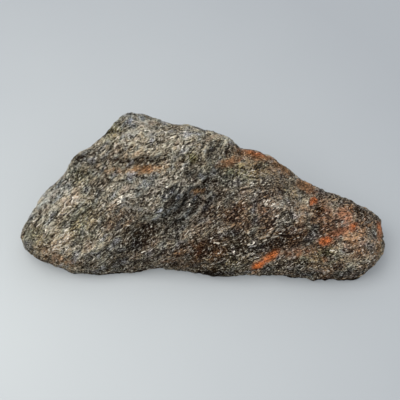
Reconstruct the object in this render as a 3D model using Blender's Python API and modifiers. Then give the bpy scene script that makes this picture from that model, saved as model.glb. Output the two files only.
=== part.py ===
"""A rough lump of nuummite, a dark foliated amphibole rock, lying on its flat side.

The stone is a wedge-shaped slab. Its broad weathered face leans back from the
ground like a desk top, and its outline, seen square on to that face, is a
lopsided peak: a blunt foot at the left, a knob at the top, a long slope to the
right. Behind the face the slab is broken off along a few flat fractures.

It is shaped lying on its back, in the frame of its face: X to the right, Y up
the slope, Z out of the face. Then it is leaned and set down on its underside.

Run with: blender --background --factory-startup --python part.py
"""

import math

import bmesh
import bpy
from mathutils import Matrix, Vector, noise

MM = 0.001

# Driving dimensions
SLAB_THICKNESS = 30 * MM
FACE_LEAN = math.radians(35)  # from the ground up to the broad face
UNDERSIDE_DEPTH = 1.3 * MM  # how far under the face's lowest rim the rock is worn flat
BED_DEPTH = 0.5 * MM  # how far the rough underside reaches below that flat
GRAIN_OF_MESH = 1.66 * MM  # size of the even faces that all the relief is cut in
WEAR_PASSES = 3  # how often the sharp fractures are worn down before the relief

# Outline of the broad face in millimetres: right, and up the slope from its foot
OUTLINE_MM = [
    # the blunt foot at the left
    (-55.9, 12.8), (-53.2, 17.6), (-51.6, 21.4), (-46.4, 28.1), (-42.6, 31.6),
    # the left flank, with its small step
    (-40.5, 35.6), (-38.6, 38.8), (-34.8, 39.8), (-32.1, 43.1), (-27.5, 47.1),
    # the knob at the top and the saddle behind it
    (-24.4, 50.6), (-20.6, 51.2), (-16.6, 50.0), (-10.3, 48.2), (-3.0, 47.3),
    # the shoulder
    (4.6, 46.6), (8.7, 43.2), (12.8, 40.1), (17.0, 40.2),
    # the long slope, with a ledge where rust shows
    (22.5, 36.4), (26.1, 33.9), (27.8, 30.9), (31.3, 30.2), (38.4, 26.4),
    (46.0, 23.6), (50.0, 21.2), (53.6, 18.6), (53.4, 13.8), (54.9, 10.7),
    # the undercut corner at the right end
    (52.7, 5.9), (50.0, 3.3), (46.9, 0.3), (41.1, -1.0), (34.0, -0.8),
    # the lower rim, with a shallow notch
    (24.6, 0.4), (11.0, 1.6), (0.0, 1.4), (-9.0, 2.8), (-16.4, 3.2),
    (-23.0, 2.4), (-31.0, 2.0), (-38.8, 2.0), (-45.9, 5.0), (-52.5, 7.6),
]
OUTLINE_STEPS = 4

# Rounding of the face's rim: how far each ring steps in, and how far it rises
RIM_RINGS_MM = [(0.5, 1.8), (0.9, 1.5), (1.4, 1.3), (2.2, 1.1), (3.0, 0.7)]

# Flat fractures that end the stone at its back and ends. Each is a point on it
# in millimetres, then the way that it faces: degrees round from the right
# towards the top, and degrees that it slants away behind the face
FRACTURES = {
    "left_foot": ((-54, 11, -5), 206, 22),
    "left_flank": ((-42, 33, -6), 143, 40),
    "left_heel": ((-34, 26, -17), 158, 64),
    "crest": ((-20, 50, -5), 101, 44),
    "saddle": ((-4, 47.3, -7), 80, 36),
    "shoulder": ((9, 45, -6), 60, 40),
    "right_flank": ((28, 31.5, -5), 68, 30),
    "right_tail": ((46, 20, -9), 40, 55),
    "right_end": ((54, 9, -5), -6, 26),
    "back": ((-8, 42, -19), 78, 66),
}

# Broad swells and hollows of the weathered face, in millimetres: right, up,
# half length, half width, turn of the length in degrees, height
SWELLS = {
    "whole_face": (-8, 22, 44, 18, -14, 4.2),
    "left_lobe": (-45, 14.5, 8, 6.5, 40, 2.2),
    "peak_block": (-21, 42.5, 11, 6.5, 10, 2.0),
    "shoulder_lobe": (-4.5, 41, 6, 6, 0, 1.7),
    "left_bulge": (-23, 26.5, 11, 5.5, 12, 2.0),
    "low_belly": (-28, 9.5, 13, 4.5, 22, 1.6),
    "notch_belly": (-11, 9, 7, 4, 0, 1.3),
    "middle_valley": (-6, 21, 15, 4.6, 38, -4.0),
    "lobe_hollow": (-37, 14, 4.5, 4.5, 60, -1.8),
    "right_ridge": (21, 24, 9, 4, -55, 1.6),
    "low_right_band": (40, 7.6, 14, 4.4, 8, 2.0),
    "right_groove": (29, 13.2, 14, 2.3, 17, -2.4),
    "rust_pocket": (20, 7.5, 5, 2.0, 34, -1.6),
    "upper_pit": (33.4, 21.8, 2.0, 1.8, 0, -1.6),
    "lower_pit": (35.4, 9.6, 2.2, 1.9, 0, -1.6),
    "end_hollow": (51.5, 13.5, 2.4, 6.5, 0, -1.6),
}

# Ledges of the face in millimetres: start, end, drop. Walking from start to
# end, the high side is at the left hand
LEDGES = {
    "under_peak_block": ((-34, 33), (-10, 37), 2.0),
    "edge_of_shoulder": ((1.5, 35.5), (-1.5, 46.5), 2.0),
    "rust_ledge": ((27, 31.5), (3, 35.2), 1.7),
    "over_groove": ((18, 9.5), (46, 17.5), 1.6),
    "diagonal_rib": ((-34, 8.0), (-14, 19.5), 1.4),
}
LEDGE_RUN = 0.8 * MM  # half width of the broken edge itself
LEDGE_REACH = 5.0 * MM  # how far from the edge the face is still lifted or lowered

# The rock splits along its foliation. On the face the grain climbs to the
# right, steeply at the left end and less and less towards the right end
GRAIN_SLOPE = 0.45
GRAIN_BEND = 2.5  # loss of slope per metre to the right, halved
CHIP_LENGTH = 13 * MM
CHIP_WIDTH = 6.5 * MM
CHIP_TILT = 0.21  # steepest slope of one chipped facet
CHIP_BLEND = 0.22  # share of a facet over which it runs into the next one
RIDGE_LENGTH = 11 * MM
RIDGE_WIDTH = 4.4 * MM
RIDGE_HEIGHT = 0.5 * MM
WAVE_LENGTH = 21 * MM
WAVE_HEIGHT = 0.9 * MM
RIM_CALM = 0.4  # share of the relief left at the rim, where it would spoil the outline
RIM_CALM_DEPTH = 7 * MM
UNDERSIDE_WAVE = 2.2 * MM
FOLD_ANGLE = math.radians(110)  # two faces that turn more than this have folded over
EASE_PASSES = 12

ROCK_COLOUR = (0.115, 0.098, 0.078, 1.0)


def clear_scene():
    for obj in list(bpy.data.objects):
        bpy.data.objects.remove(obj)


def outline_slab():
    """The face's outline, drawn as a filled curve and given the slab's thickness."""
    curve = bpy.data.curves.new("outline", "CURVE")
    curve.dimensions = "2D"
    curve.fill_mode = "BOTH"
    curve.extrude = SLAB_THICKNESS / 2
    curve.resolution_u = OUTLINE_STEPS
    spline = curve.splines.new("BEZIER")
    spline.bezier_points.add(len(OUTLINE_MM) - 1)
    spline.use_cyclic_u = True
    for point, (right, up) in zip(spline.bezier_points, OUTLINE_MM):
        point.co = (right * MM, up * MM, 0)
        point.handle_left_type = "AUTO"
        point.handle_right_type = "AUTO"
    drawn = bpy.data.objects.new("outline", curve)
    bpy.context.collection.objects.link(drawn)
    graph = bpy.context.evaluated_depsgraph_get()
    mesh = bpy.data.meshes.new_from_object(drawn.evaluated_get(graph))
    bpy.data.objects.remove(drawn)
    slab = bmesh.new()
    slab.from_mesh(mesh)
    bmesh.ops.remove_doubles(slab, verts=slab.verts, dist=0.01 * MM)
    # The face itself becomes the plane that all heights are measured from
    bmesh.ops.translate(slab, verts=slab.verts, vec=(0, 0, -SLAB_THICKNESS / 2))
    return slab


def round_rim(slab):
    """Steps the face in ring by ring, so that its rim is rounded and not square."""
    front = [f for f in slab.faces if f.normal.z > 0.9]
    for step_in, rise in RIM_RINGS_MM:
        bmesh.ops.inset_region(
            slab, faces=front, thickness=step_in * MM, depth=0, use_even_offset=True
        )
        corners = {v for f in front for v in f.verts}
        bmesh.ops.translate(slab, verts=list(corners), vec=(0, 0, rise * MM))


def cut_away(stone, point, outward):
    """Removes all that lies on the outward side of a plane, and closes the cut."""
    cut = bmesh.ops.bisect_plane(
        stone,
        geom=stone.verts[:] + stone.edges[:] + stone.faces[:],
        plane_co=point,
        plane_no=outward,
        clear_outer=True,
    )
    rim = [e for e in cut["geom_cut"] if isinstance(e, bmesh.types.BMEdge)]
    bmesh.ops.holes_fill(stone, edges=rim, sides=0)


def facing(turn_deg, slant_deg):
    """Unit vector turned from the right towards the top, and slanting away behind the face."""
    turn, slant = math.radians(turn_deg), math.radians(slant_deg)
    flat = math.cos(slant)
    return Vector((math.cos(turn) * flat, math.sin(turn) * flat, -math.sin(slant)))


def down_in_face_frame():
    return Matrix.Rotation(-FACE_LEAN, 3, "X") @ Vector((0, 0, -1))


def even_mesh(stone):
    """The stone again with small faces of one size, in rows along the grain."""
    rows = Matrix.Rotation(math.atan(GRAIN_SLOPE), 4, "Z")
    bmesh.ops.transform(stone, matrix=rows.inverted(), verts=stone.verts)
    rough = bpy.data.meshes.new("rough")
    stone.to_mesh(rough)
    stone.free()
    obj = bpy.data.objects.new("rough", rough)
    bpy.context.collection.objects.link(obj)
    remesh = obj.modifiers.new("even", "REMESH")
    remesh.mode = "VOXEL"
    remesh.voxel_size = GRAIN_OF_MESH
    graph = bpy.context.evaluated_depsgraph_get()
    even = bmesh.new()
    even.from_object(obj, graph)
    bpy.data.objects.remove(obj)
    bmesh.ops.transform(even, matrix=rows, verts=even.verts)
    for _ in range(WEAR_PASSES):
        bmesh.ops.smooth_vert(
            even, verts=even.verts, factor=0.5, use_axis_x=True, use_axis_y=True, use_axis_z=True
        )
    return even


def swell_height(point):
    total = 0.0
    for centre_x, centre_y, half_length, half_width, turn_deg, height in SWELLS.values():
        turn = math.radians(turn_deg)
        dx, dy = point.x / MM - centre_x, point.y / MM - centre_y
        along = (dx * math.cos(turn) + dy * math.sin(turn)) / half_length
        across = (dy * math.cos(turn) - dx * math.sin(turn)) / half_width
        total += height * MM * math.exp(-(along * along + across * across))
    return total


def ledge_height(point):
    """Lift at the high side of each ledge and drop at its low side, fading away from it."""
    here = point.to_2d()
    total = 0.0
    for start_mm, end_mm, drop in LEDGES.values():
        start, end = Vector(start_mm) * MM, Vector(end_mm) * MM
        run = end - start
        from_start = here - start
        share = min(1.0, max(0.0, from_start.dot(run) / run.length_squared))
        away = (from_start - run * share).length
        left = (run.x * from_start.y - run.y * from_start.x) / run.length
        step = math.tanh(left / LEDGE_RUN)
        total += 0.5 * drop * MM * step * math.exp(-((away / LEDGE_REACH) ** 2))
    return total


def grain_place(point, length, width):
    """Where a point lies along and across the curved grain, in lengths and widths."""
    climb = GRAIN_SLOPE * point.x - GRAIN_BEND * point.x * point.x
    return Vector((point.x / length, (point.y - climb) / width, point.z / width))


def facet_height(cell, centre):
    """Height of one tilted facet at a place in or near it, in widths."""
    slope = noise.cell_vector(centre * 7.3) * 2 - Vector((1, 1, 1))
    local = cell - centre
    return local.x * slope.x + local.y * slope.y + 0.5 * slope.z


def chip_height(point):
    """Tilted facets, one to a cell of the grain, each running into its neighbour."""
    cell = grain_place(point, CHIP_LENGTH, CHIP_WIDTH)
    distances, centres = noise.voronoi(cell)
    apart = min(1.0, (distances[1] - distances[0]) / CHIP_BLEND)
    share = 0.5 * (1 + apart)
    own = facet_height(cell, centres[0])
    other = facet_height(cell, centres[1])
    return CHIP_TILT * CHIP_WIDTH * (share * own + (1 - share) * other)


def ridge_height(point):
    """Long low ridges drawn out along the grain."""
    return RIDGE_HEIGHT * noise.fractal(grain_place(point, RIDGE_LENGTH, RIDGE_WIDTH), 1.0, 2.0, 2)


def carve_relief(stone):
    """Moves the face by its named swells and ledges, and every side by chips and ridges."""
    stone.normal_update()
    down = down_in_face_frame()
    moves = []
    for vert in stone.verts:
        point, normal = vert.co, vert.normal
        on_face = max(0.0, normal.z) ** 0.5
        on_underside = max(0.0, normal.dot(down)) ** 2
        behind = min(1.0, max(0.0, -point.z / RIM_CALM_DEPTH))
        strength = max(on_face, RIM_CALM + (1 - RIM_CALM) * behind)
        wave = WAVE_HEIGHT * noise.noise(point / WAVE_LENGTH)
        wave += UNDERSIDE_WAVE * on_underside * noise.noise(point / WAVE_LENGTH)
        move = normal * strength * (wave + chip_height(point) + ridge_height(point))
        move.z += on_face * (swell_height(point) + ledge_height(point))
        moves.append(move)
    for vert, move in zip(stone.verts, moves):
        vert.co += move


def set_down(stone):
    """Leans the slab, cuts its underside flat and puts the middle of its box at the origin."""
    lean = Matrix.Rotation(FACE_LEAN, 4, "X")
    bmesh.ops.transform(stone, matrix=lean, verts=stone.verts)
    lowest_rim = min(up for _, up in OUTLINE_MM) * MM * math.sin(FACE_LEAN)
    bmesh.ops.translate(stone, verts=stone.verts, vec=(0, 0, -lowest_rim - UNDERSIDE_DEPTH))
    cut_away(stone, Vector((0, 0, 0)), Vector((0, 0, -1)))
    across = [v.co.x for v in stone.verts]
    deep = [v.co.y for v in stone.verts]
    middle = Vector((min(across) + max(across), min(deep) + max(deep), 0)) / 2
    bmesh.ops.translate(stone, verts=stone.verts, vec=-middle)


def ease_folds(stone):
    """Smooths the few spots where the relief has folded the skin back over itself."""
    for _ in range(EASE_PASSES):
        stone.normal_update()
        folded = {v for e in stone.edges if e.calc_face_angle(0) > FOLD_ANGLE for v in e.verts}
        around = {v for corner in folded for edge in corner.link_edges for v in edge.verts}
        clear = [v for v in stone.verts if v in around and v.co.z > GRAIN_OF_MESH]
        bmesh.ops.smooth_vert(
            stone, verts=clear, factor=0.5, use_axis_x=True, use_axis_y=True, use_axis_z=True
        )


def build_stone():
    stone = outline_slab()
    round_rim(stone)
    for point_mm, turn_deg, slant_deg in FRACTURES.values():
        cut_away(stone, Vector(point_mm) * MM, facing(turn_deg, slant_deg))
    lowest_rim = Vector((0, min(up for _, up in OUTLINE_MM) * MM, 0))
    down = down_in_face_frame()
    bed = lowest_rim - down * (UNDERSIDE_DEPTH - BED_DEPTH)
    cut_away(stone, bed, down)
    stone = even_mesh(stone)
    carve_relief(stone)
    set_down(stone)
    bmesh.ops.dissolve_degenerate(stone, dist=0.02 * MM, edges=stone.edges)
    bmesh.ops.triangulate(stone, faces=stone.faces)
    bmesh.ops.recalc_face_normals(stone, faces=stone.faces)
    ease_folds(stone)
    return stone


def rock_material():
    material = bpy.data.materials.new("weathered_amphibole_rock")
    material.use_nodes = True
    shader = material.node_tree.nodes["Principled BSDF"]
    shader.inputs["Base Color"].default_value = ROCK_COLOUR
    shader.inputs["Roughness"].default_value = 0.62
    shader.inputs["Metallic"].default_value = 0.0
    return material


def main():
    clear_scene()
    collection = bpy.data.collections.new("Nuummite")
    bpy.context.scene.collection.children.link(collection)
    stone = build_stone()
    mesh = bpy.data.meshes.new("nuummite_stone")
    stone.to_mesh(mesh)
    stone.free()
    mesh.materials.append(rock_material())
    obj = bpy.data.objects.new("nuummite_stone", mesh)
    collection.objects.link(obj)


main()
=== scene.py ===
"""The looks of a rough lump of nuummite: its splintered break, its crystals and its rust."""

import math
import random

import bmesh
import bpy
import numpy as np
from bpy.props import (
    FloatProperty,
    FloatVectorProperty,
    IntProperty,
    PointerProperty,
)
from mathutils import Matrix, Vector, noise


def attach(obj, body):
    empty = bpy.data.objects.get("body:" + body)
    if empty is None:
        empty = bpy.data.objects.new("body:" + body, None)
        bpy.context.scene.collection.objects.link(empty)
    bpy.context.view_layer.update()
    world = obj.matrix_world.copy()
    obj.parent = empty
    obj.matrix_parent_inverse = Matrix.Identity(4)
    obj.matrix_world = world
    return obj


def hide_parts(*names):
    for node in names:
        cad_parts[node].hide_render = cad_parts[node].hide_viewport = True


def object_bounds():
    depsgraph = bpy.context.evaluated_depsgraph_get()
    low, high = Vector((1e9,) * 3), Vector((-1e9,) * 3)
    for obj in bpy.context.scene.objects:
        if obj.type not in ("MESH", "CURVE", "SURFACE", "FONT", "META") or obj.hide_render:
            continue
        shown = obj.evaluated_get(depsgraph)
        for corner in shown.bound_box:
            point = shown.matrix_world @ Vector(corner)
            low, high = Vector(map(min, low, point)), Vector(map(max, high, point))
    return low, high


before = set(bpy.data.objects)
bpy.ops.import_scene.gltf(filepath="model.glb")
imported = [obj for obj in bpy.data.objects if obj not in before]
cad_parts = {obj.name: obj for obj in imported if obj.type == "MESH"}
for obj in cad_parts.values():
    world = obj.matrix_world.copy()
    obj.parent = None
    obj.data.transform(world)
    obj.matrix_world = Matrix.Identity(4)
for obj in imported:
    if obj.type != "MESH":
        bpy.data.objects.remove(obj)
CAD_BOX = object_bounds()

bl_info = {
    "name": "Nuummite Lump",
    "version": (1, 0, 0),
    "blender": (4, 5, 0),
    "location": "3D View > Sidebar > Nuummite",
    "description": "Dresses a packed lump of nuummite and sets it on a pale table",
    "category": "Object",
}

MM = 0.001

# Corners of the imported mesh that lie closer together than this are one
MERGE_WITHIN = 0.001 * MM

# The broad face leans back from the ground. Its foot is the point that all
# places on the face are measured from: millimetres to the right, and up the slope
FACE_LEAN = math.radians(35)
FACE_FOOT = Vector((0.53, -21.29, -0.73)) * MM
OUT_OF_FACE = Matrix.Rotation(FACE_LEAN, 3, "X") @ Vector((0, 0, 1))

# The grain climbs to the right, steeply at the left and less towards the right end
GRAIN_SLOPE = 0.45
GRAIN_BEND = 2.5

# The break is coarse splinters that carry finer ones. A blend, in splinter widths,
# softens the step from one splinter to the next
COARSE_SHARE, COARSE_BLEND = 0.62, 0.16
FINE_SHARE, FINE_BLEND = 0.25, 0.25
FINE_PER_COARSE = 2.6
# Fissures follow the lines where a slow noise along the grain passes through
# nought, and reach this far to both sides of them
FISSURE_REACH = 0.07
# The finest roughness is grit, a little longer along the grain than across it
GRIT_LENGTH, GRIT_WIDTH = 1.1 * MM, 0.6 * MM

# A crack wanders this far to both sides of its line, in waves this long
CRACK_WANDER = 0.8 * MM
CRACK_WAVE = 1.6 * MM

# Felts of crystals: turn from the grain in degrees, length and width in laths, and
# a shift that keeps the crystals of one felt off those of the next
FELTS = {
    "first": (-22, 1.0, 1.0, 0.0),
    "second": (8, 1.25, 1.1, 3.1),
    "third": (42, 0.8, 0.95, 7.4),
    "crumb": (15, 0.45, 0.9, 5.3),
    # The fresh felt is partly paler cleaved crystals and partly painted glints
    "fresh": (20, 0.9, 0.8, 9.7),
}

# Mottles along the grain: length and width in millimetres, turn from the grain in
# degrees, detail, weight in the rock's lightness
MOTTLES = {
    "needles": (1.4, 0.14, -16, 2.0, 2.2),
    "cross_needles": (1.0, 0.13, 34, 2.0, 1.7),
    "clumps": (4.5, 0.9, 12, 2.0, 0.5),
    "drift": (9.0, 6.0, 12, 3.0, 0.8),
}

# A loose flake is a six-sided blade. Its turn and tilt from the grain spread by
# these angles in radians, and its length and width by these shares
BLADE_SIDES = 6
BLADE_TURN, BLADE_TILT = 0.5, 0.03
LENGTH_SPREAD, WIDTH_SPREAD = 0.4, 0.25
# How likely a flake lies on a place outside the patches of flakes
STRAY_FLAKES = 0.07

# Sockets of a Mix node: for plain values its two inputs, for colours its two
# inputs and its output
VALUE_A, VALUE_B = 2, 3
COLOUR_A, COLOUR_B, COLOUR_OUT = 6, 7, 2
BLEND = {"data_type": "RGBA"}
MULTIPLY = {"data_type": "RGBA", "blend_type": "MULTIPLY"}

# Patches of the face in millimetres: right, up, half length, half width, turn
# of the length in degrees, strength
PATCHES = {
    "pale": {
        "left_lobe": (-46, 13, 8, 7, 50, 0.65),
        "lobe_tip": (-41, 13.5, 2.5, 5, 10, 0.85),
        "peak_block": (-20, 43, 12, 6, 5, 0.7),
        "shoulder_lobe": (-6, 41, 6, 5.5, 0, 0.8),
        "bulge": (-20, 28.5, 10, 4.2, 12, 0.5),
        "flank_flakes": (-39, 24.8, 4, 2.2, 20, 1.1),
        "flank_edge": (-48.5, 24.5, 6, 2.0, 50, 1.9),
        "knob": (-21, 48.4, 4.5, 2.2, 0, 1.2),
        "under_peak_left": (-26, 34, 5, 2.5, 0, 0.5),
        "shoulder_facet": (6, 42, 4.5, 2.6, -28, 0.9),
        "hollow_spot": (-2.0, 26.6, 2.6, 1.4, 10, 1.7),
        "hollow_streak": (-7, 25.5, 7, 0.9, 42, 0.5),
        "lobe_hollow": (-37, 20.5, 4.5, 3, 30, 0.45),
        "foot": (-41.5, 5.4, 4.5, 2.8, -18, 1.15),
        "right_end": (52.5, 14.5, 2.0, 5.5, 0, 0.45),
        "low_left": (-32, 9, 6, 4, 15, 0.5),
        "right_flakes": (22, 23.5, 7, 2.0, -8, 0.2),
        "right_streaks": (19.5, 13.8, 4.5, 0.7, 22, 0.5),
        "tail": (44, 12, 9, 7, 0, 0.7),
        "pink_patch": (42, 20.5, 5, 2.6, -30, 0.5),
        "tail_edge": (49, 20.3, 2.8, 1.6, -35, 1.0),
        "over_ridge": (11, 33, 8, 3, -8, 0.55),
        "low_right": (34, 6, 7, 3, 5, 0.4),
        "shoulder_side": (0.8, 34.5, 1.8, 2.6, 0, 0.5),
        "white_lip": (13.6, 8.0, 2.4, 0.7, 0, 1.0),
        "pocket": (17, 5.8, 4.5, 1.5, 36, 1.0),
    },
    # Darker places: some are darker rock, while those in the hollows, pits and grooves, under the peak
    # block and along the lower rim and its notch are painted shade
    "dark": {
        "middle_hollow": (-4, 21, 12, 6.5, 45, 0.6),
        "hollow_foot": (-19, 13.5, 6.5, 3.8, 30, 1.0),
        "under_peak": (-19, 36.5, 9, 1.2, 4, 0.5),
        "low_middle": (3, 10, 17, 6, 4, 0.8),
        "centre": (9, 22, 7, 5, 20, 0.5),
        "notch_rim": (-1, 2.3, 13, 1.8, 0, 1.9),
        "shoulder_green": (-4, 36.6, 2.6, 1.8, 0, 0.9),
        "right_groove": (20, 12.0, 11, 3.0, 15, 0.85),
        "upper_pit": (34.3, 21.8, 1.6, 1.3, 60, 1.6),
        "orange_foot": (40, 15.2, 3.0, 1.0, 15, 0.6),
        "lower_pit": (36.0, 8.4, 2.0, 1.8, 10, 1.0),
        "tail_top": (47, 21, 5, 1.5, -25, 1.0),
        "tail_top_left": (40, 24.5, 3, 1.5, -25, 0.7),
        "flank_nick": (-38.5, 37.5, 2.0, 1.6, 0, 1.0),
        "crest_line": (-30, 44.5, 4, 0.8, 25, 0.8),
        "knob_line": (-21, 51.6, 5, 0.9, 0, 1.6),
        "saddle_line": (-7, 48.8, 9, 0.9, -4, 1.4),
        "slope_line": (42, 26.0, 11, 0.9, -26, 1.0),
        "hollow_streak": (-12, 17, 9, 1.3, 42, 0.9),
        "hollow_side": (-1.5, 27.5, 6, 1.4, 62, 0.7),
        "low_right": (27, 5.4, 4.5, 1.8, 0, 1.1),
        "lower_rim": (-20, -0.5, 40, 2.6, 0, 0.7),
    },
    "cool": {
        "middle_hollow": (-5, 23, 13, 7, 45, 0.95),
        "hollow_foot": (-18, 13, 8, 4, 25, 0.5),
        "left_flank_edge": (-45, 27, 11, 2.4, 47, 0.9),
        "knob": (-21, 48.5, 4.5, 2.2, 0, 0.9),
        "bulge": (-19, 28, 10, 4.5, 12, 0.6),
        "shoulder_side": (5, 32, 6, 5, 30, 0.7),
        "groove": (22, 9, 9, 2.5, 12, 0.5),
        "low_right": (28, 4, 4.5, 2.4, 0, 0.7),
        "pale_flakes": (20, 23, 8, 3, -8, 0.4),
        "tail_edge": (49, 20.5, 3, 1.6, -35, 0.8),
        "right_block": (13, 26, 6, 3, 30, 0.5),
        "streaks_under": (22, 12.5, 7, 1.6, 18, 0.6),
    },
    "olive": {
        "crest_left": (-28, 45.5, 3.5, 2.5, 30, 0.9),
        "pits": (36, 9, 3, 3, 0, 0.8),
        "flank": (-38, 32, 3, 2.5, 0, 0.7),
        "shoulder_foot": (-4, 37, 2.2, 1.5, 0, 1.0),
        "over_ridge": (11, 33.5, 9, 3.0, -6, 0.9),
        "lobe_shadow": (-37, 18, 7, 4, 40, 0.5),
        "left_foot": (-51, 14, 4, 5, 60, 0.5),
        "low_right": (34, 7, 6, 3, 0, 0.6),
        "lower_lobe": (53, 10, 1.5, 3.0, -10, 0.9),
        "right_block": (26, 27, 4, 2, -25, 0.5),
        "middle_foot": (8, 6, 6, 2, 0, 0.5),
    },
    "warm": {
        "right_half": (38, 14, 19, 14, -15, 1.3),
        "centre": (14, 18, 15, 13, 0, 1.0),
        "low_middle": (-2, 9, 16, 6, 0, 1.0),
        "over_ridge": (14, 34, 12, 4, -12, 0.7),
        "peak": (-23, 38, 12, 5, 0, 0.2),
        "left_foot": (-44, 8, 9, 5, -20, 0.45),
        "bulge_foot": (-27, 19, 6, 4, 0, 0.7),
    },
    "rust": {
        "under_peak": (-18.5, 33.6, 7.5, 1.8, 3, 0.85),
        "under_peak_left": (-26.5, 33.2, 5, 1.6, 0, 0.55),
        "peak_haze": (-22, 37, 11, 4, 5, 0.25),
        "rust_ledge": (15.5, 38.2, 7.5, 1.9, -14, 1.0),
        "ledge_left": (8, 36.2, 5.5, 1.5, 18, 0.9),
        "ledge_right": (23.5, 34.5, 4.8, 2.2, -42, 1.0),
        "notch": (11.3, 40.8, 1.2, 0.8, 0, 1.1),
        "slope_pink": (30.5, 28.7, 3.4, 1.8, -35, 1.3),
        "upper_spot": (32.6, 24.2, 1.7, 1.2, 40, 1.2),
        "slope_haze": (40, 18, 9, 5, -35, 0.36),
        "pink_patch": (42, 20, 4.5, 2.4, -30, 0.75),
        "orange_patch": (44.4, 16.6, 2.0, 1.3, 40, 1.0),
        "orange_foot": (40, 15, 3.4, 1.4, 15, 1.1),
        "lower_spot": (36, 12.4, 2.4, 1.4, 20, 1.4),
        "pit_ochre": (36, 7.0, 2.0, 1.2, 0, 0.5),
        "pocket": (15.8, 4.8, 2.3, 1.5, 35, 1.2),
        "pocket_tail": (19.4, 7.5, 3.4, 1.4, 38, 1.45),
        "pocket_haze": (27, 8.6, 5.5, 1.8, 5, 0.7),
        "right_end": (53.0, 15.2, 1.4, 4.0, 0, 0.95),
        "right_end_low": (53.6, 10, 1.4, 2.6, 0, 0.5),
        "left_foot": (-42.5, 6.6, 5.5, 2.4, -28, 0.55),
        "foot_edge": (-47, 7.5, 4, 1.8, -35, 0.35),
        "hollow_spot": (-2.0, 27.0, 2.4, 1.2, 10, 0.85),
        "bulge_foot": (-26, 20, 4, 2, 10, 0.3),
        "low_haze": (-3, 10, 5, 3.5, 20, 0.3),
        "centre_haze": (16, 21, 9, 4, -15, 0.3),
        "lower_rim": (20, -0.6, 40, 1.6, 0, 0.6),
    },
    "flakes": {
        "lobe": (-43, 12, 4, 5, 30, 0.5),
        "lobe_tip": (-41, 14.5, 1.6, 3.5, 10, 0.85),
        "flank": (-39, 24.5, 2.6, 1.2, 20, 0.6),
        "bulge": (-27, 24.2, 3.5, 1.0, 10, 0.9),
        "bulge_right": (-12, 29, 5, 2.5, 40, 0.35),
        "shoulder_lobe": (-7, 42, 5, 5, 0, 0.35),
        "peak": (-18, 43, 10, 5, 5, 0.15),
        "right": (21, 23.5, 5, 1.3, -8, 0.7),
        "right_low": (22.5, 19.5, 2.5, 2, 20, 0.5),
        "streaks": (19.5, 13.8, 4.5, 1.4, 22, 0.4),
        "lip": (13.6, 8.0, 2.4, 0.7, 0, 1.0),
        "tail": (42, 15, 10, 6, 0, 0.12),
    },
    "fire": {
        "rust_ledge": (15.0, 39.2, 6.0, 1.1, -16, 0.7),
        "notch": (11.3, 40.6, 1.1, 0.7, 0, 0.6),
        "under_peak": (-16, 33.7, 4, 1.0, 3, 0.2),
        "upper_spot": (32.6, 24.2, 1.6, 1.1, 40, 1.0),
        "orange_patch": (44.4, 16.6, 1.8, 1.1, 45, 0.8),
        "lower_spot": (36, 12.4, 2.4, 1.3, 20, 1.0),
        "pocket": (15.8, 4.8, 2.6, 1.6, 35, 1.5),
        "between_pockets": (17.6, 6.2, 2.0, 0.9, 38, 0.9),
        "pocket_tail": (19.8, 7.8, 2.8, 1.1, 38, 1.0),
        "right_end": (53.0, 16, 1.2, 3, 0, 0.5),
    },
}

# Cracks of the face in millimetres: start, end, depth, half width
CRACKS = {
    "under_peak_block": ((-31, 35.6), (-10.5, 37.0), 0.45, 0.9),
    "crest": ((-31, 43), (-25, 46.4), 0.6, 0.4),
    "bulge_top": ((-28, 30.5), (-16, 31.5), 0.5, 0.4),
    "shoulder_edge": ((0.0, 46), (-0.8, 36.5), 0.8, 0.6),
    "lobe": ((-42, 17), (-30, 24), 0.4, 0.5),
    "hollow_upper": ((-10, 20), (2, 33), 0.7, 0.6),
    "hollow_lower": ((-16, 12), (-1, 23), 0.8, 0.6),
    "hollow_left": ((-19, 14.5), (-8, 25.5), 0.9, 0.5),
    "hollow_top": ((-14, 23), (-5.5, 32.5), 0.7, 0.5),
    "hollow_right": ((-5, 16.5), (5, 27.5), 0.9, 0.5),
    "hollow_end": ((-1, 27), (3, 32.5), 0.4, 0.5),
    "white_lip": ((11.6, 7.3), (16.4, 7.3), 0.8, 0.35),
    "streaks": ((15.5, 12.2), (22.5, 15.6), 0.8, 0.45),
    "streaks_over": ((24, 17), (33, 19.5), 0.6, 0.4),
    "ledge_foot": ((7, 33.6), (22, 35.2), 0.6, 0.5),
    "low_left": ((-34, 8), (-24, 12.5), 0.5, 0.5),
    "tail": ((37, 10.5), (47, 13), 0.6, 0.45),
    "low_right": ((24, 6.2), (33, 6.4), 0.5, 0.4),
}


def linear(hex_colour):
    """An sRGB hex colour as linear red, green, blue and full alpha."""
    channels = [int(hex_colour[i : i + 2], 16) / 255 for i in (1, 3, 5)]
    return tuple(c / 12.92 if c <= 0.04045 else ((c + 0.055) / 1.055) ** 2.4 for c in channels) + (1,)


def to_face(points):
    """Points of the stone, one to a row, as right, up the slope and out of the face."""
    lean_back = np.array(Matrix.Rotation(-FACE_LEAN, 3, "X"))
    return (points - np.array(FACE_FOOT)) @ lean_back.T


def patch_cover(patches, places):
    """How strongly a set of patches covers each place on the face."""
    cover = np.zeros(len(places))
    for right, up, half_length, half_width, turn_deg, strength in patches.values():
        turn = math.radians(turn_deg)
        dx, dy = places[:, 0] / MM - right, places[:, 1] / MM - up
        along = (dx * math.cos(turn) + dy * math.sin(turn)) / half_length
        across = (dy * math.cos(turn) - dx * math.sin(turn)) / half_width
        cover = np.maximum(cover, strength * np.exp(-(along**2 + across**2)))
    return cover


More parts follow.
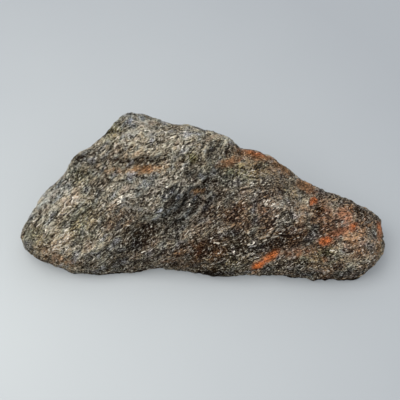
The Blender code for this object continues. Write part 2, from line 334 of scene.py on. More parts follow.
def crack_depth(places):
    """How deep the cracks of the face cut at each place, and how high their upper lips stand."""
    cut = np.zeros(len(places))
    for start_mm, end_mm, depth, half_width in CRACKS.values():
        start, end = np.array(start_mm) * MM, np.array(end_mm) * MM
        run = end - start
        length = np.hypot(*run)
        from_start = places[:, :2] - start
        share = np.clip(from_start @ run / length**2, 0, 1)
        wander = CRACK_WANDER * np.sin(share * length / CRACK_WAVE + start[0] / MM)
        left = (run[0] * from_start[:, 1] - run[1] * from_start[:, 0]) / length - wander
        past_end = np.hypot(*(from_start - share[:, None] * run).T) ** 2 - left**2
        across = left / (half_width * MM)
        # Shallower towards both ends, and the upper lip stands proud beside the cut
        fade = np.sin(math.pi * np.clip(share, 0.02, 0.98)) ** 0.5
        fade = fade * np.exp(-np.maximum(past_end, 0) / (1.0 * MM) ** 2)
        groove = np.exp(-(across**2)) - 0.6 * np.exp(-((across - 2.2) ** 2) / 2)
        cut += depth * MM * fade * groove
    return cut


def grain_place(place, length, width):
    """Where a place lies along and across the curved grain, in lengths and widths."""
    climb = GRAIN_SLOPE * place[0] - GRAIN_BEND * place[0] * place[0]
    return Vector((place[0] / length, (place[1] - climb) / width, place[2] / width))


def splinter(place, length, width, blend):
    """Height of the tilted splinter that a place lies on, in its widths."""
    cell = grain_place(place, length, width)
    distances, centres = noise.voronoi(cell)
    share = 0.5 * (1 + min(1.0, (distances[1] - distances[0]) / blend))
    total = 0.0
    for centre, part in zip(centres[:2], (share, 1 - share)):
        # Each splinter has a tilt and a height of its own, drawn from its centre
        tilt = noise.cell_vector(centre * 9.1) * 2 - Vector((1, 1, 1))
        local = cell - centre
        total += part * (local.x * tilt.x + local.y * tilt.y + 0.6 * tilt.z)
    return total


class NUUMMITE_PG_stone(bpy.types.PropertyGroup):
    """The weathered stone: its break, its painted shade at the rim and the foot, and its crystals"""

    fineness: FloatProperty(
        name="Fineness", description="Size of the small faces that the break is cut in",
        default=0.4 * MM, min=0.2 * MM, unit="LENGTH",
    )
    wear: IntProperty(
        name="Wear", description="How often the stone is worn smooth before the break is cut",
        default=8, min=0,
    )
    splinter_length: FloatProperty(
        name="Splinter length", description="Length of the splinters that the rock breaks into",
        default=6.5 * MM, unit="LENGTH",
    )
    splinter_width: FloatProperty(
        name="Splinter width", description="Width of the splinters",
        default=2.4 * MM, unit="LENGTH",
    )
    splinter_height: FloatProperty(
        name="Splinter height", description="How far one splinter stands over the next",
        default=0.62 * MM, unit="LENGTH",
    )
    fissure_depth: FloatProperty(
        name="Fissure depth", description="Depth of the fissures that run with the grain",
        default=0.45 * MM, unit="LENGTH",
    )
    grit_depth: FloatProperty(
        name="Grit depth", description="Depth of the finest roughness",
        default=0.16 * MM, unit="LENGTH",
    )
    # Painted shade: the rim where the face turns under, and the foot right above the table as a contact
    # shadow, are darkened in colour
    painted_rim_shade: FloatProperty(
        name="Painted rim shade", description="How dark the rim is where the face turns under",
        default=0.55, min=0,
    )
    painted_foot_shadow: FloatProperty(
        name="Painted foot shadow", description="How dark the face is right above the table",
        default=3.6, min=0,
    )
    foot_height: FloatProperty(
        name="Foot height", description="How high the dark foot reaches", default=2.0 * MM, unit="LENGTH",
    )
    lath_length: FloatProperty(
        name="Lath length", description="Length of one amphibole crystal in the rock",
        default=1.5 * MM, unit="LENGTH",
    )
    lath_width: FloatProperty(
        name="Lath width", description="Width of one amphibole crystal in the rock",
        default=0.3 * MM, unit="LENGTH",
    )
    gap_colour: FloatVectorProperty(
        name="Gap colour", description="Colour of the gaps and of the darkest crystals",
        subtype="COLOR", size=4, default=linear("#281e16"), min=0, max=1,
    )
    mid_colour: FloatVectorProperty(
        name="Crystal colour", description="Colour of most crystals",
        subtype="COLOR", size=4, default=linear("#989186"), min=0, max=1,
    )
    pale_colour: FloatVectorProperty(
        name="Pale colour", description="Colour of the palest crystals",
        subtype="COLOR", size=4, default=linear("#fffaf0"), min=0, max=1,
    )
    # Also the colour of the painted glints on the fresh crystals
    fresh_and_glint_colour: FloatVectorProperty(
        name="Fresh and glint colour", description="Colour of the freshly cleaved crystals",
        subtype="COLOR", size=4, default=linear("#ddd8cb"), min=0, max=1,
    )
    rust_colour: FloatVectorProperty(
        name="Rust colour", description="Colour of the old ochre-brown rust",
        subtype="COLOR", size=4, default=linear("#997447"), min=0, max=1,
    )
    red_rust_colour: FloatVectorProperty(
        name="Red rust colour", description="Colour of the redder rust of the right half",
        subtype="COLOR", size=4, default=linear("#9c6647"), min=0, max=1,
    )
    fire_colour: FloatVectorProperty(
        name="Fresh rust colour", description="Colour of the bright orange rust",
        subtype="COLOR", size=4, default=linear("#cc6a2a"), min=0, max=1,
    )


class NUUMMITE_PG_flakes(bpy.types.PropertyGroup):
    """The loose cleavage flakes"""

    count: IntProperty(
        name="Count", description="How many loose flakes lie on the break", default=1800, min=1,
    )
    length: FloatProperty(
        name="Length", description="Length of a middling flake", default=1.1 * MM, unit="LENGTH",
    )
    width: FloatProperty(
        name="Width", description="Width of a middling flake", default=0.3 * MM, unit="LENGTH",
    )
    stand: FloatProperty(
        name="Stand", description="How far a flake stands out of the rock",
        default=0.03 * MM, unit="LENGTH",
    )


class NUUMMITE_PG_stage(bpy.types.PropertyGroup):
    """The table, the light and the camera"""

    # Painted pool of light: the table runs from the table colour at the front left to the darker far colour
    table_colour: FloatVectorProperty(
        name="Table colour", description="Colour of the pale table",
        subtype="COLOR", size=4, default=linear("#8e9191"), min=0, max=1,
    )
    far_colour: FloatVectorProperty(
        name="Far colour", description="Colour of the table at its far right",
        subtype="COLOR", size=4, default=linear("#75787b"), min=0, max=1,
    )
    # Painted light: the table glows by itself, as though lit from beneath, and the glow thins the shadows
    # on it
    glow: FloatProperty(
        name="Glow", description="How strongly the table is lit from beneath", default=0.68, min=0,
    )
    key_power: FloatProperty(
        name="Key light", description="Power of the large soft light", default=3.2, unit="POWER",
    )
    fill: FloatProperty(name="Fill", description="Strength of the light from all round", default=1.35)
    distance: FloatProperty(
        name="Camera distance", description="From the camera to the stone",
        default=0.5, unit="LENGTH",
    )
    elevation: FloatProperty(
        name="Camera elevation", description="How steeply the camera looks down",
        default=math.radians(55), subtype="ANGLE",
    )
    view_width: FloatProperty(
        name="View width", description="Width of the view at the stone",
        default=120.8 * MM, unit="LENGTH",
    )


def evened_stone(settings):
    """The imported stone's mesh, merged, cut into even small faces and worn smooth."""
    rough = bmesh.new()
    rough.from_mesh(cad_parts["nuummite_stone"].data)
    bmesh.ops.remove_doubles(rough, verts=rough.verts, dist=MERGE_WITHIN)
    mesh = bpy.data.meshes.new("rough_stone")
    rough.to_mesh(mesh)
    rough.free()
    stone = bpy.data.objects.new("rough_stone", mesh)
    bpy.context.collection.objects.link(stone)
    remesh = stone.modifiers.new("even", "REMESH")
    remesh.mode = "VOXEL"
    remesh.voxel_size = settings.fineness
    even = bmesh.new()
    even.from_object(stone, bpy.context.evaluated_depsgraph_get())
    bpy.data.objects.remove(stone)
    bpy.data.meshes.remove(mesh)
    for _ in range(settings.wear):
        bmesh.ops.smooth_vert(
            even, verts=even.verts, factor=0.5, use_axis_x=True, use_axis_y=True, use_axis_z=True
        )
    bmesh.ops.triangulate(even, faces=even.faces)
    worn = bpy.data.meshes.new("weathered_stone")
    even.to_mesh(worn)
    even.free()
    return worn


def break_height(place, settings):
    """How high the break stands at a place: its splinters and grit, less its fissures."""
    length, width = settings.splinter_length, settings.splinter_width
    coarse = splinter(place, length, width, COARSE_BLEND)
    # Read from a place well apart, so that fine splinters don't follow the coarse ones
    apart = place + 100 * MM
    fine = splinter(apart, length / FINE_PER_COARSE, width / FINE_PER_COARSE, FINE_BLEND)
    vein = abs(noise.noise(grain_place(place, length * 1.3, width * 0.9)))
    fissure = math.exp(-((vein / FISSURE_REACH) ** 2))
    grit = noise.fractal(grain_place(place, GRIT_LENGTH, GRIT_WIDTH), 0.7, 2.0, 3)
    height = settings.splinter_height * (COARSE_SHARE * coarse + FINE_SHARE * fine)
    return height + settings.grit_depth * grit - settings.fissure_depth * fissure


def read_points(mesh, name):
    """One vector of each of a mesh's vertices, as the rows of an array."""
    values = np.empty(len(mesh.vertices) * 3)
    mesh.vertices.foreach_get(name, values)
    return values.reshape(-1, 3)


def painted_shade(points, normals, on_face, settings):
    """How much painted shade darkens each place, under the rim of the face and right above the table."""
    up_slope = np.array(Matrix.Rotation(FACE_LEAN, 3, "X") @ Vector((0, 1, 0)))
    # The painted shade under the rim begins where the face turns about 27 degrees under, and grows from
    # there
    turned_under = np.clip((-0.45 - normals @ up_slope) / 0.4, 0, 1)
    # The painted contact shadow at the foot is fullest right above the table, and only on the face's side
    at_the_foot = on_face * np.clip(1.3 - points[:, 2] / settings.foot_height, 0, 1)
    return np.maximum(settings.painted_rim_shade * turned_under, settings.painted_foot_shadow * at_the_foot)


def cut_break(mesh, settings):
    """Cuts splinters, fissures and cracks into the stone, and notes what covers each place."""
    points = read_points(mesh, "co")
    normals = read_points(mesh, "normal")
    places = to_face(points)
    relief = np.array([break_height(place, settings) for place in places])
    # Full on the face, less round its rim and nought on the back
    on_face = np.clip(0.6 + normals @ np.array(OUT_OF_FACE), 0, 1)
    relief -= on_face * crack_depth(places)
    points += normals * relief[:, None]
    points[:, 2] = np.maximum(points[:, 2], 0)
    mesh.vertices.foreach_set("co", points.ravel())
    covers = {name: on_face * patch_cover(patches, places) for name, patches in PATCHES.items()}
    covers["relief"] = relief / settings.splinter_height
    # Painted shade under the rim and at the foot joins the dark patches
    covers["dark"] = np.maximum(covers["dark"], painted_shade(points, normals, on_face, settings))
    for name, cover in covers.items():
        mesh.attributes.new(name, "FLOAT", "POINT").data.foreach_set("value", cover)
    # The flakes lie along the worn surface, as it was before the break was cut
    mesh.attributes.new("worn_normal", "FLOAT_VECTOR", "POINT").data.foreach_set("vector", normals.ravel())
    mesh.update()


def add(tree, kind, inputs=None, output=0, **settings):
    """Adds one node with its settings, feeds its inputs, and returns one of its outputs."""
    node = tree.nodes.new(kind)
    for name, value in settings.items():
        setattr(node, name, value)
    for socket, source in (inputs or {}).items():
        if isinstance(source, bpy.types.NodeSocket):
            tree.links.new(source, node.inputs[socket])
        else:
            node.inputs[socket].default_value = source
    return node.outputs[output]


def set_stops(ramp, stops):
    """Gives a colour ramp its stops, each a place and a linear colour."""
    while len(ramp.elements) < len(stops):
        ramp.elements.new(0.5)
    for element, (place, colour) in zip(ramp.elements, stops):
        element.position = place
        element.color = colour


def stirred_grain(tree):
    """Object coordinates in the face's frame, with the grain's curve taken out, stirred a little."""
    place = add(tree, "ShaderNodeTexCoord", output="Object")
    face = add(
        tree, "ShaderNodeMapping",
        {"Vector": place, "Location": FACE_FOOT, "Rotation": (FACE_LEAN, 0, 0)},
        vector_type="TEXTURE",
    )
    split = add(tree, "ShaderNodeSeparateXYZ", {0: face}).node.outputs
    slope = add(
        tree, "ShaderNodeMath", {0: split[0], 1: -GRAIN_BEND, 2: GRAIN_SLOPE}, operation="MULTIPLY_ADD"
    )
    climb = add(tree, "ShaderNodeMath", {0: split[0], 1: slope}, operation="MULTIPLY")
    across = add(tree, "ShaderNodeMath", {0: split[1], 1: climb}, operation="SUBTRACT")
    grain = add(tree, "ShaderNodeCombineXYZ", {0: split[0], 1: across, 2: split[2]})
    stir = add(
        tree, "ShaderNodeTexNoise", {"Vector": grain, "Scale": 1 / (2.6 * MM), "Detail": 2.0}, "Color"
    )
    return add(
        tree, "ShaderNodeVectorMath", {0: stir, 1: (0.6 * MM,) * 3, 2: grain}, operation="MULTIPLY_ADD"
    )


def felt(tree, grain, name, settings):
    """Crystals that lie one way: how clearly each shows, and three numbers of its own."""
    turn_deg, laths_long, laths_wide, shift = FELTS[name]
    length, width = settings.lath_length * laths_long, settings.lath_width * laths_wide
    place = add(
        tree, "ShaderNodeMapping",
        {
            "Vector": grain,
            "Location": (shift * MM, shift * 2 * MM, 0),
            # Tipped a little out of the face, each felt its own way
            "Rotation": (0.25 * math.sin(shift), 0.25 * math.cos(shift), math.radians(turn_deg)),
            "Scale": (length, width, width),
        },
        vector_type="TEXTURE",
    )
    cells = add(tree, "ShaderNodeTexVoronoi", {"Vector": place, "Scale": 1.0}).node.outputs
    # Each crystal is whole in its middle and fades before it meets the next
    body = add(
        tree, "ShaderNodeMapRange",
        {"Value": cells["Distance"], "From Min": 0.61, "From Max": 0.36},
        interpolation_type="SMOOTHSTEP",
    )
    number = add(tree, "ShaderNodeSeparateColor", {0: cells["Color"]})
    shown = add(tree, "ShaderNodeMath", {0: body, 1: number}, operation="MULTIPLY")
    return shown, cells["Color"]


def crystals(tree, grain, settings):
    """The large, the small and the fresh crystals, and the large ones' own numbers."""
    top, own = felt(tree, grain, "first", settings)
    for name in ("second", "third"):
        over, _ = felt(tree, grain, name, settings)
        top = add(tree, "ShaderNodeMath", {0: top, 1: over}, operation="MAXIMUM")
    crumb, _ = felt(tree, grain, "crumb", settings)
    # A few crystals are freshly cleaved and paler, and their white flash is a painted glint
    fresh, _ = felt(tree, grain, "fresh", settings)
    fresh = add(tree, "ShaderNodeMapRange", {"Value": fresh, "From Min": 0.7, "From Max": 0.88})
    return top, crumb, fresh, own


def lightness(tree, grain, shares):
    """How light the rock is, from its mottles and from weighted shares of other patterns."""
    # Noise swings about a half, so half of each weight is taken off
    light = -0.5 * sum(mottle[-1] for mottle in MOTTLES.values())
    for long, wide, turn_deg, detail, weight in MOTTLES.values():
        size = (long * MM, wide * MM, wide * MM)
        place = add(
            tree, "ShaderNodeMapping",
            {"Vector": grain, "Rotation": (0, 0, math.radians(turn_deg)), "Scale": size},
            vector_type="TEXTURE",
        )
        mottle = add(
            tree, "ShaderNodeTexNoise", {"Vector": place, "Scale": 1.0, "Detail": detail, "Roughness": 0.6},
        )
        light = add(tree, "ShaderNodeMath", {0: mottle, 1: weight, 2: light}, operation="MULTIPLY_ADD")
    for source, weight in shares:
        light = add(tree, "ShaderNodeMath", {0: source, 1: weight, 2: light}, operation="MULTIPLY_ADD")
    return add(
        tree, "ShaderNodeMapRange", {"Value": light, "From Min": 0.18, "From Max": 0.98},
        interpolation_type="SMOOTHSTEP",
    )


def crystal_colour(tree, grain, light, covers, settings):
    """The crystals from near black to pale, each patch of them with its mineral's tint."""
    ramp = add(tree, "ShaderNodeValToRGB", {0: light})
    stops = ((0.0, settings.gap_colour), (0.55, settings.mid_colour), (1.0, settings.pale_colour))
    set_stops(ramp.node.color_ramp, stops)
    # The hue drifts from grey over olive to brown within a few millimetres
    hue = add(
        tree, "ShaderNodeTexNoise",
        {"Vector": grain, "Scale": 1 / (3.4 * MM), "Detail": 1.0, "Roughness": 0.5},
    )
    hues = add(tree, "ShaderNodeValToRGB", {0: hue})
    tones = ((0.3, "#a9abb0"), (0.42, "#a9a99b"), (0.52, "#b0a893"), (0.62, "#b1a48b"), (0.72, "#ae9c87"))
    set_stops(hues.node.color_ramp, [(place, linear(tone)) for place, tone in tones])
    colour = add(tree, "ShaderNodeMix", {0: 1.0, COLOUR_A: ramp, COLOUR_B: hues}, COLOUR_OUT, **MULTIPLY)
    # The brown of the right half lies in swathes
    swathe = add(tree, "ShaderNodeTexNoise", {"Vector": grain, "Scale": 1 / (5.5 * MM), "Detail": 2.0})
    swathe = add(
        tree, "ShaderNodeMapRange",
        {"Value": swathe, "From Min": 0.36, "From Max": 0.6, "To Min": 0.1, "To Max": 1.25},
    )
    swathe = add(tree, "ShaderNodeMath", {0: swathe, 1: covers["warm"]}, operation="MULTIPLY")
    for cover, tone in ((covers["cool"], "#c9d6ee"), (covers["olive"], "#e2e4ac"), (swathe, "#f3c9aa")):
        tinted = {0: cover, COLOUR_A: colour, COLOUR_B: linear(tone)}
        colour = add(tree, "ShaderNodeMix", tinted, COLOUR_OUT, **MULTIPLY)
    return colour


def rust(tree, grain, light, covers, settings):
    """The rust's colour, ochre to orange over the grit, and how much of the rock it hides."""
    # Blots eat into the edges of the patches, as rust soaks in unevenly
    blot = add(
        tree, "ShaderNodeTexNoise",
        {"Vector": grain, "Scale": 1 / (1.3 * MM), "Detail": 3.0, "Roughness": 0.6},
    )
    stain = add(tree, "ShaderNodeMath", {0: blot, 1: 1.6, 2: -0.8}, operation="MULTIPLY_ADD")
    stain = add(tree, "ShaderNodeMath", {0: stain, 1: covers["rust"]}, operation="ADD")
    stain = add(
        tree, "ShaderNodeMapRange", {"Value": stain, "From Min": 0.15, "From Max": 0.95, "To Max": 0.95},
        interpolation_type="SMOOTHSTEP",
    )
    old = {0: covers["warm"], COLOUR_A: settings.rust_colour, COLOUR_B: settings.red_rust_colour}
    colour = add(tree, "ShaderNodeMix", old, COLOUR_OUT, **BLEND)
    bright = {0: covers["fire"], COLOUR_A: colour, COLOUR_B: settings.fire_colour}
    colour = add(tree, "ShaderNodeMix", bright, COLOUR_OUT, **BLEND)
    grit = add(tree, "ShaderNodeMapRange", {"Value": light, "To Min": 0.15, "To Max": 1.25})
    colour = add(tree, "ShaderNodeMix", {0: 1.0, COLOUR_A: colour, COLOUR_B: grit}, COLOUR_OUT, **MULTIPLY)
    return colour, stain


def rock_material(settings):
    """Weathered amphibole rock, broken along its foliation.

    The eye sees a felt of small laths, pale, brown and near black side by side,
    each catching the light by itself, with rust in its ledges and pits.
    """
    material = bpy.data.materials.new("weathered_amphibole_rock")
    material.use_nodes = True
    tree = material.node_tree
    shader = tree.nodes["Principled BSDF"]
    shader.inputs["IOR"].default_value = 1.63
    grain = stirred_grain(tree)
    top, crumb, fresh, own = crystals(tree, grain, settings)
    # What cut_break noted at each place
    covers = {
        name: add(tree, "ShaderNodeAttribute", output="Fac", attribute_name=name)
        for name in (*PATCHES, "relief")
        if name != "flakes"
    }
    # The fresh crystals add partly painted glints. The relief lightens the raised places and darkens the
    # low ones, dirt and painted shade in the lows, and the dark cover brings painted shade at the foot,
    # under the rim and in the hollows
    shares = (
        (top, 0.7), (crumb, 0.6), (fresh, 0.7),
        (covers["relief"], 0.3), (covers["pale"], 0.3), (covers["dark"], -0.3),
    )
    light = lightness(tree, grain, shares)

    colour = crystal_colour(tree, grain, light, covers, settings)
    # Painted glints: the fresh crystals, more so where the rock is light, are mixed towards the pale fresh
    # colour
    painted_glint = add(tree, "ShaderNodeMath", {0: fresh, 1: light}, operation="MULTIPLY")
    painted_glint = add(tree, "ShaderNodeMath", {0: painted_glint, 1: 0.6}, operation="MULTIPLY")
    flash = {0: painted_glint, COLOUR_A: colour, COLOUR_B: settings.fresh_and_glint_colour}
    colour = add(tree, "ShaderNodeMix", flash, COLOUR_OUT, **BLEND)
    rust_colour, stain = rust(tree, grain, light, covers, settings)
    stained = {0: stain, COLOUR_A: colour, COLOUR_B: rust_colour}
    colour = add(tree, "ShaderNodeMix", stained, COLOUR_OUT, **BLEND)
    # Painted shade: at the foot right above the table and in the deepest pits the colour turns near black
    deep_painted_shade = add(
        tree, "ShaderNodeMapRange",
        {"Value": covers["dark"], "From Min": 1.0, "From Max": 2.2, "To Min": 1.0, "To Max": 0.2},
    )
    colour = add(tree, "ShaderNodeMix", {0: 1.0, COLOUR_A: colour, COLOUR_B: deep_painted_shade}, COLOUR_OUT, **MULTIPLY)
    tree.links.new(colour, shader.inputs["Base Color"])

    # Crystals are smooth on their cleavage and rust is matt
    rough = add(tree, "ShaderNodeMapRange", {"Value": top, "To Min": 0.85, "To Max": 0.42})
    rough = add(tree, "ShaderNodeMix", {0: stain, VALUE_A: rough, VALUE_B: 0.9})
    tree.links.new(rough, shader.inputs["Roughness"])
    # Narrow gaps and the darkened places, painted shade at the foot and under the rim among them, give back
    # hardly any gloss
    gloss = add(tree, "ShaderNodeMapRange", {"Value": light, "From Max": 0.6, "To Min": 0.1, "To Max": 0.4})
    clean = add(tree, "ShaderNodeMapRange", {"Value": covers["dark"], "To Min": 1.0, "To Max": 0.1})
    gloss = add(tree, "ShaderNodeMath", {0: gloss, 1: clean}, operation="MULTIPLY")
    tree.links.new(gloss, shader.inputs["Specular IOR Level"])
    # Each large crystal leans its own way, so that neighbours catch the light apart
    facing = add(tree, "ShaderNodeNewGeometry", output="Normal")
    lean = add(
        tree, "ShaderNodeVectorMath", {0: own, 1: (0.5,) * 3, 2: (-0.25,) * 3}, operation="MULTIPLY_ADD"
    )
    facing = add(tree, "ShaderNodeVectorMath", {0: facing, 1: lean}, operation="ADD")
    facing = add(tree, "ShaderNodeVectorMath", {0: facing}, operation="NORMALIZE")
    bump = add(tree, "ShaderNodeBump", {"Height": light, "Distance": 0.2 * MM, "Normal": facing})
    tree.links.new(bump, shader.inputs["Normal"])
    return material


class NUUMMITE_OT_stone(bpy.types.Operator):
    """Make the weathered stone with its splintered break"""

    bl_idname = "nuummite.stone"
    bl_label = "Weathered stone"

    def execute(self, context):
        settings = context.scene.nuummite_stone
        mesh = evened_stone(settings)
        cut_break(mesh, settings)
        mesh.shade_smooth()
        mesh.materials.append(rock_material(settings))
        stone = bpy.data.objects.new("weathered_stone", mesh)
        context.scene.collection.objects.link(stone)
        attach(stone, "root")
        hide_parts("nuummite_stone")
        return {"FINISHED"}


def flake_material():
    """Anthophyllite and gedrite cleavage flakes, fresh where the rock last broke.

    The eye sees silvery, straw and grey blades with a glassy to pearly flash.
    """
    material = bpy.data.materials.new("amphibole_cleavage_flakes")
    material.use_nodes = True
    tree = material.node_tree
    shader = tree.nodes["Principled BSDF"]
    shader.inputs["IOR"].default_value = 1.64
    shader.inputs["Roughness"].default_value = 0.38
    own = add(tree, "ShaderNodeAttribute", output="Fac", attribute_name="shade")
    ramp = add(tree, "ShaderNodeValToRGB", {0: own})
    tones = ((0.0, "#2a2620"), (0.35, "#6a6052"), (0.75, "#a89e8c"), (1.0, "#e4dccb"))
    set_stops(ramp.node.color_ramp, [(place, linear(tone)) for place, tone in tones])
    place = add(tree, "ShaderNodeTexCoord", output="Object")
    streak = add(tree, "ShaderNodeTexNoise", {"Vector": place, "Scale": 1 / (0.5 * MM), "Detail": 2.0})
    streak = add(tree, "ShaderNodeMapRange", {"Value": streak, "To Min": 0.55, "To Max": 1.35})
    colour = add(tree, "ShaderNodeMix", {0: 1.0, COLOUR_A: ramp, COLOUR_B: streak}, COLOUR_OUT, **MULTIPLY)
    tree.links.new(colour, shader.inputs["Base Color"])
    return material


def grain_direction(place_x):
    """The way the grain runs at a place, as a unit vector in the stone's own frame."""
    slope = GRAIN_SLOPE - 2 * GRAIN_BEND * place_x
    return Matrix.Rotation(FACE_LEAN, 3, "X") @ Vector((1, slope, 0)).normalized()


def lay_blade(flakes, shade, spot, normal, fresh, settings, draw):
    """One blade along the grain, sunk into the rock by part of its thickness."""
    along = grain_direction(spot.x)
    along = Matrix.Rotation(draw.gauss(0, BLADE_TURN), 3, normal) @ along
    along = (along - normal * along.dot(normal)).normalized()
    along = (along + normal * draw.gauss(0, BLADE_TILT)).normalized()
    across = normal.cross(along).normalized()
    out = along.cross(across)
    length = settings.length * draw.lognormvariate(0, LENGTH_SPREAD)
    width = settings.width * draw.lognormvariate(0, WIDTH_SPREAD)
    thick = width / 2
    turn = Matrix((along, across, out)).transposed().to_4x4()
    sunk = spot + normal * (settings.stand - thick / 2)
    blade = Matrix.Translation(sunk) @ turn @ Matrix.Diagonal((length, width, thick, 1))
    made = bmesh.ops.create_cone(
        flakes,
        cap_ends=True,
        segments=BLADE_SIDES,
        radius1=0.5,
        radius2=0.5 * draw.uniform(0.4, 1.0),
        depth=1.0,
        matrix=blade @ Matrix.Rotation(math.radians(90), 4, "Y"),
    )
    own = min(1.0, max(0.0, draw.gauss(0.5 + 0.3 * fresh, 0.25)))
    for vert in made["verts"]:
        vert[shade] = own


def sow_flakes(stone, settings):
    """Strews blades over the stone, thickest in their own patches and none on the rust."""
    draw = random.Random(11)
    mesh = stone.data
    areas = np.empty(len(mesh.polygons))
    mesh.polygons.foreach_get("area", areas)
    reach = np.cumsum(areas)
    dense = np.empty(len(mesh.vertices))
    rust_cover = np.empty(len(mesh.vertices))
    mesh.attributes["flakes"].data.foreach_get("value", dense)
    mesh.attributes["rust"].data.foreach_get("value", rust_cover)
    worn = mesh.attributes["worn_normal"].data
    laid = bpy.data.meshes.new("cleavage_flakes")
    # A mesh that grows makes each new blade slower, so the blades are made in batches
    batch = 150
    for laid_before in range(0, settings.count, batch):
        wanted = min(batch, settings.count - laid_before)
        flakes = bmesh.new()
        shade = flakes.verts.layers.float.new("shade")
        while len(flakes.verts) < 2 * BLADE_SIDES * wanted:
            index = int(np.searchsorted(reach, draw.random() * reach[-1]))
            face = mesh.polygons[min(index, len(areas) - 1)]
            corner = face.vertices[0]
            luck = draw.random()
            normal = worn[corner].vector.normalized()
            # None stand on edge in a groove or lie in the dark under the rim
            open_to_view = face.normal.dot(normal) > 0.85 and face.center.z > 2 * MM
            if open_to_view and luck < STRAY_FLAKES + dense[corner] - 0.9 * rust_cover[corner]:
                lay_blade(flakes, shade, face.center, normal, dense[corner], settings, draw)
        bmesh.ops.triangulate(flakes, faces=flakes.faces)
        bmesh.ops.recalc_face_normals(flakes, faces=flakes.faces)
        flakes.from_mesh(laid)
        flakes.to_mesh(laid)
        flakes.free()
    return laid


class NUUMMITE_OT_flakes(bpy.types.Operator):
    """Lay the loose cleavage flakes on the break"""

    bl_idname = "nuummite.flakes"
    bl_label = "Cleavage flakes"

    def execute(self, context):
        stone = bpy.data.objects["weathered_stone"]
        mesh = sow_flakes(stone, context.scene.nuummite_flakes)
        mesh.materials.append(flake_material())
        flakes = bpy.data.objects.new("cleavage_flakes", mesh)
        context.scene.collection.objects.link(flakes)
        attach(flakes, "root")
        return {"FINISHED"}


def table_material(settings):
    """Opal acrylic, with painted light.

    The eye sees a pale cool ground, brightest at the front left as a painted pool of
    light, whose own painted glow keeps the shadows thin.
    """
    material = bpy.data.materials.new("opal_acrylic")
    material.use_nodes = True
    tree = material.node_tree
    shader = tree.nodes["Principled BSDF"]
    shader.inputs["Roughness"].default_value = 0.85
    place = add(tree, "ShaderNodeTexCoord", output="Object")
    # Painted pool of light: brightest at a spot at the front left and darker away from it, a little uneven
    away = add(
        tree, "ShaderNodeVectorMath", {0: place, 1: (-70 * MM, -40 * MM, 0)}, 1, operation="DISTANCE"
    )
    away = add(tree, "ShaderNodeMapRange", {"Value": away, "From Max": 175 * MM})
    mottle = add(tree, "ShaderNodeTexNoise", {"Vector": place, "Scale": 1 / (30 * MM), "Detail": 2.0})
    away = add(tree, "ShaderNodeMath", {0: mottle, 1: 0.08, 2: away}, operation="MULTIPLY_ADD")
    shades = {0: away, COLOUR_A: settings.table_colour, COLOUR_B: settings.far_colour}
    tint = add(tree, "ShaderNodeMix", shades, COLOUR_OUT, **BLEND)
    tree.links.new(tint, shader.inputs["Base Color"])
    # Painted light: the table glows in its own colour, though it is no lamp
    tree.links.new(tint, shader.inputs["Emission Color"])
    shader.inputs["Emission Strength"].default_value = settings.glow
    return material


def pale_table(settings):
    """A plain board that the stone lies on."""
    board = bmesh.new()
    bmesh.ops.create_grid(board, x_segments=1, y_segments=1, size=1.5)
    mesh = bpy.data.meshes.new("table")
    board.to_mesh(mesh)
    board.free()
    mesh.materials.append(table_material(settings))
    table = bpy.data.objects.new("table", mesh)
    bpy.context.scene.collection.objects.link(table)
    return table


def place_and_aim(name, data, place, target):
    """A light or a camera at a place, looking at a target."""
    holder = bpy.data.objects.new(name, data)
    bpy.context.scene.collection.objects.link(holder)
    holder.location = place
    holder.rotation_euler = (target - place).to_track_quat("-Z", "Y").to_euler()
    return holder


def key_light(settings):
    """A large soft light, high at the left and a little to the front."""
    lamp = bpy.data.lights.new("key", "AREA")
    lamp.energy = settings.key_power
    lamp.size = 0.5
    lamp.color = (1.0, 0.98, 0.95)
    place_and_aim("key", lamp, Vector((-0.24, -0.08, 0.52)), Vector((0, 0, 15 * MM)))


def tent_world(settings):
    """Light from all round, bright overhead and dim towards the horizon, as in a soft tent."""
    world = bpy.data.worlds.new("studio")
    world.use_nodes = True
    tree = world.node_tree
    background = tree.nodes["Background"]
    way = add(tree, "ShaderNodeTexCoord", output="Generated")
    height = add(tree, "ShaderNodeSeparateXYZ", {0: way}, 2)
    glow = add(
        tree, "ShaderNodeMapRange", {"Value": height, "From Min": -0.1, "From Max": 0.9, "To Min": 0.85}
    )
    glow = add(tree, "ShaderNodeMath", {0: glow, 1: settings.fill}, operation="MULTIPLY")
    tree.links.new(glow, background.inputs["Strength"])
    background.inputs["Color"].default_value = linear("#ecf0f5")
    return world


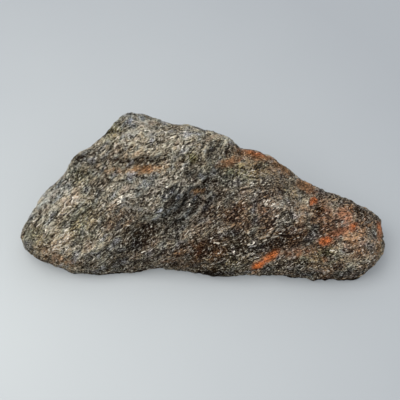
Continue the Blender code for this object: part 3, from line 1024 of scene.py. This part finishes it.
def view_camera(settings):
    """The camera at the photo's viewing angle, a little off the stone's middle as there."""
    camera = bpy.data.cameras.new("camera")
    camera.lens = camera.sensor_width * settings.distance / settings.view_width
    low, high = CAD_BOX
    centre = (Vector(low) + Vector(high)) / 2
    back = Vector((0, -math.cos(settings.elevation), math.sin(settings.elevation)))
    up = Vector((0, math.sin(settings.elevation), math.cos(settings.elevation)))
    target = centre + Vector((-0.9 * MM, 0, 0)) - up * 2.7 * MM
    return place_and_aim("camera", camera, target + back * settings.distance, target)


class NUUMMITE_OT_stage(bpy.types.Operator):
    """Set the table, the lights and the camera"""

    bl_idname = "nuummite.stage"
    bl_label = "Table, lights and camera"

    def execute(self, context):
        scene = context.scene
        settings = scene.nuummite_stage
        table = pale_table(settings)
        key_light(settings)
        scene.world = tent_world(settings)
        scene.camera = view_camera(settings)
        scene.view_settings.view_transform = "Standard"
        return {"FINISHED"}


class NUUMMITE_PT_panel(bpy.types.Panel):
    """The settings of each piece and the button that makes it"""

    bl_label = "Nuummite"
    bl_idname = "NUUMMITE_PT_panel"
    bl_space_type = "VIEW_3D"
    bl_region_type = "UI"
    bl_category = "Nuummite"

    def draw(self, context):
        scene = context.scene
        for group, operator in (
            (scene.nuummite_stone, NUUMMITE_OT_stone),
            (scene.nuummite_flakes, NUUMMITE_OT_flakes),
            (scene.nuummite_stage, NUUMMITE_OT_stage),
        ):
            box = self.layout.box()
            for name in group.__annotations__:
                box.prop(group, name)
            box.operator(operator.bl_idname)


CLASSES = (
    NUUMMITE_PG_stone,
    NUUMMITE_PG_flakes,
    NUUMMITE_PG_stage,
    NUUMMITE_OT_stone,
    NUUMMITE_OT_flakes,
    NUUMMITE_OT_stage,
    NUUMMITE_PT_panel,
)


def register():
    for cls in CLASSES:
        bpy.utils.register_class(cls)
    bpy.types.Scene.nuummite_stone = PointerProperty(type=NUUMMITE_PG_stone)
    bpy.types.Scene.nuummite_flakes = PointerProperty(type=NUUMMITE_PG_flakes)
    bpy.types.Scene.nuummite_stage = PointerProperty(type=NUUMMITE_PG_stage)


def unregister():
    del bpy.types.Scene.nuummite_stage
    del bpy.types.Scene.nuummite_flakes
    del bpy.types.Scene.nuummite_stone
    for cls in reversed(CLASSES):
        bpy.utils.unregister_class(cls)


def main():
    register()
    bpy.ops.nuummite.stone()
    bpy.ops.nuummite.flakes()
    bpy.ops.nuummite.stage()


if __name__ == "__main__":
    main()
